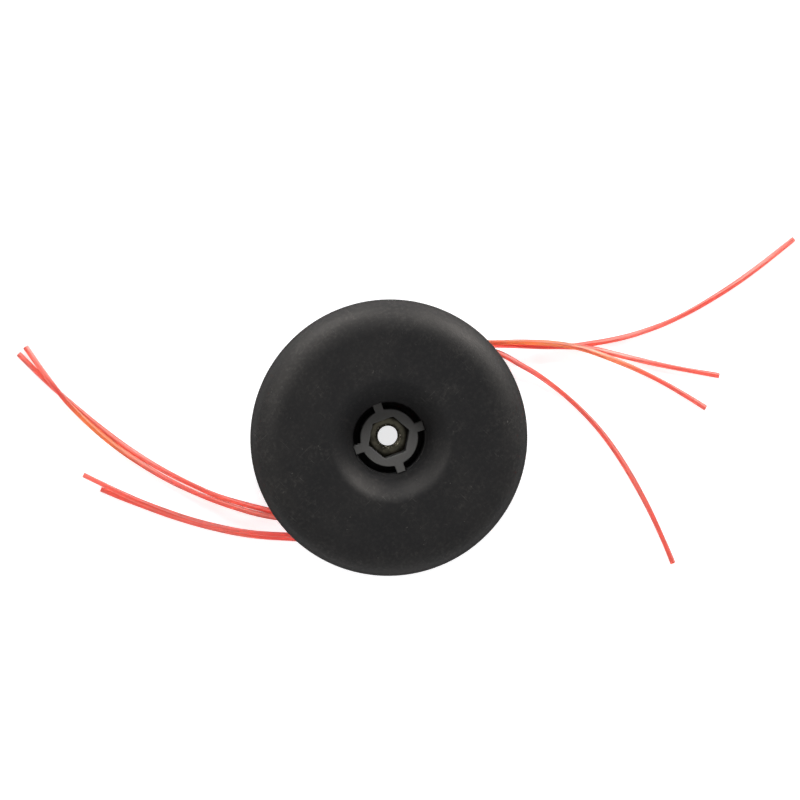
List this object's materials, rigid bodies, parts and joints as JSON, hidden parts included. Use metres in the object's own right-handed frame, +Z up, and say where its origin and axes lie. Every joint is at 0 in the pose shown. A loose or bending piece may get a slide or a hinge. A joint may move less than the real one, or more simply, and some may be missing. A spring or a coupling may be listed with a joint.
{
  "type": "trimmer head",
  "caption": "Round fixed-line trimmer head with a domed glide bowl over a moulded body, a captive hexagon drive nut and square nylon cutting lines through side ports.",
  "frame": {"origin": "centre of the gearbox seat, on the ground under the middle of the head", "axes": "+Z up along the drive shaft, out of the glide bowl; +X and -X through the middles of the two line ports"},
  "size_m": [0.3273, 0.3068, 0.038],
  "materials": {
    "black_nylon": "matt moulded black, scuffed and dusty",
    "grey_nylon": "matt moulded dark grey",
    "dark_steel": "dark oxidised zinc plate",
    "bright_steel": "zinc plated",
    "aluminium": "plain turned and pressed",
    "coral_line": "translucent coral extruded nylon"
  },
  "bodies": {
    "root": {"glide_bowl": "black_nylon", "head_body": "grey_nylon", "drive_nut": "dark_steel", "shaft_bush": "bright_steel", "post_sleeve_1": "aluminium", "post_sleeve_2": "aluminium", "bowl_screw_1": "bright_steel", "bowl_screw_2": "bright_steel", "bowl_screw_3": "bright_steel", "bowl_screw_4": "bright_steel", "port_liner_right": "aluminium", "port_liner_left": "aluminium", "line_1": "coral_line", "line_2": "coral_line", "line_3": "coral_line", "line_4": "coral_line"}
  },
  "joints": []
}
